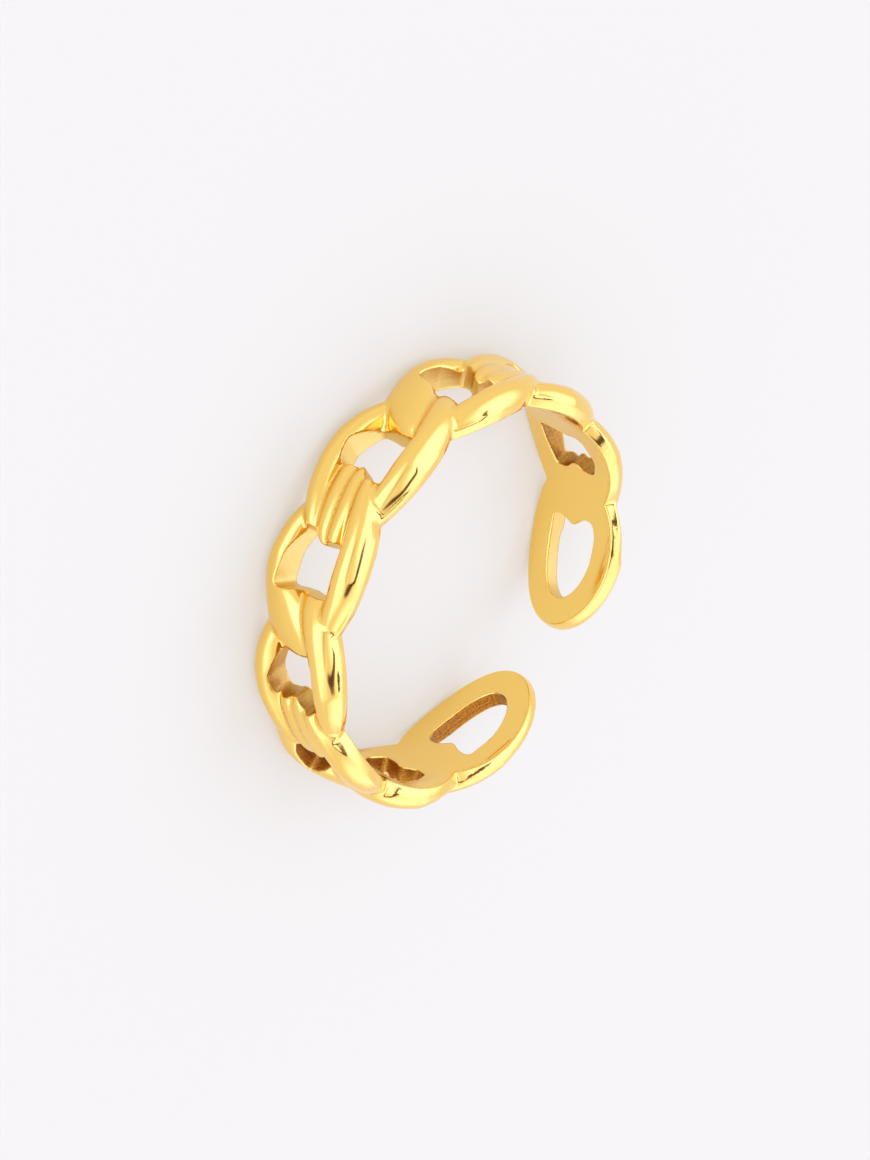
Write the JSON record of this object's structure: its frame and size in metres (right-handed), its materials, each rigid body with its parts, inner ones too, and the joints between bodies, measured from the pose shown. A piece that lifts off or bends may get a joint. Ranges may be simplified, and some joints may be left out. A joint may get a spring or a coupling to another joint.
{
  "type": "open curb-chain ring",
  "caption": "Open band ring of polished gold, cast as a row of oval curb-chain links with pierced centres and twisted crossings, bent round the finger with a gap between its tips.",
  "frame": {"origin": "on the finger's axis, halfway across the band", "axes": "+Z along the finger's axis, which stands upright as the ring lies on its side; the gap between the tips faces -Y and the middle crossing faces +Y"},
  "size_m": [0.0194, 0.0196, 0.0046],
  "materials": {
    "gold": "polished gold plate, satin inside the pierced holes"
  },
  "bodies": {
    "root": {"link_band": "gold"}
  },
  "joints": []
}
